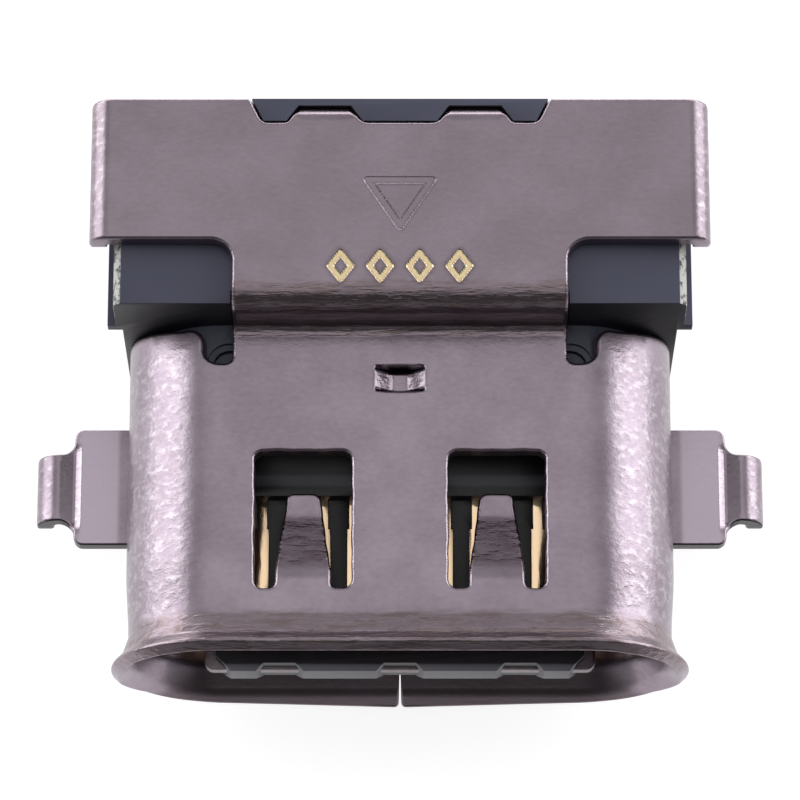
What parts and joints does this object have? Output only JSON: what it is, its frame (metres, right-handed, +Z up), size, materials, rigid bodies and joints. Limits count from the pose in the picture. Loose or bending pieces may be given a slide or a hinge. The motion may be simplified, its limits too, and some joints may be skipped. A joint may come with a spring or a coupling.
{
  "type": "usb-c socket",
  "caption": "Board-mounted socket for a reversible oval plug, with a flared stamped shell, spring fingers, solder legs, a stepped rear cover and a central contact tongue.",
  "frame": {"origin": "middle of the plug opening, in the plane of the shell's rim and on the tongue's mid-plane", "axes": "+X across the socket to the right, +Y from the mouth to the rear, +Z up from the board"},
  "size_m": [0.0122, 0.0092, 0.0047],
  "materials": {
    "shell_steel": "satin nickel plating on stamped stainless sheet",
    "housing_plastic": "fine moulded glass-filled plastic",
    "tongue_plastic": "smooth moulded plastic",
    "plate_steel": "bare stamped sheet",
    "contact_gold": "gold plating on copper alloy"
  },
  "bodies": {
    "root": {"shell": "shell_steel", "housing": "housing_plastic", "tongue": "tongue_plastic", "mid_plate": "plate_steel", "upper_carrier": "housing_plastic", "lower_carrier": "housing_plastic", "contact_a1": "contact_gold", "contact_a2": "contact_gold", "contact_a3": "contact_gold", "contact_a4": "contact_gold", "contact_a5": "contact_gold", "contact_a6": "contact_gold", "contact_a7": "contact_gold", "contact_a8": "contact_gold", "contact_a9": "contact_gold", "contact_a10": "contact_gold", "contact_a11": "contact_gold", "contact_a12": "contact_gold", "contact_b1": "contact_gold", "contact_b2": "contact_gold", "contact_b3": "contact_gold", "contact_b4": "contact_gold", "contact_b5": "contact_gold", "contact_b6": "contact_gold", "contact_b7": "contact_gold", "contact_b8": "contact_gold", "contact_b9": "contact_gold", "contact_b10": "contact_gold", "contact_b11": "contact_gold", "contact_b12": "contact_gold"}
  },
  "joints": []
}
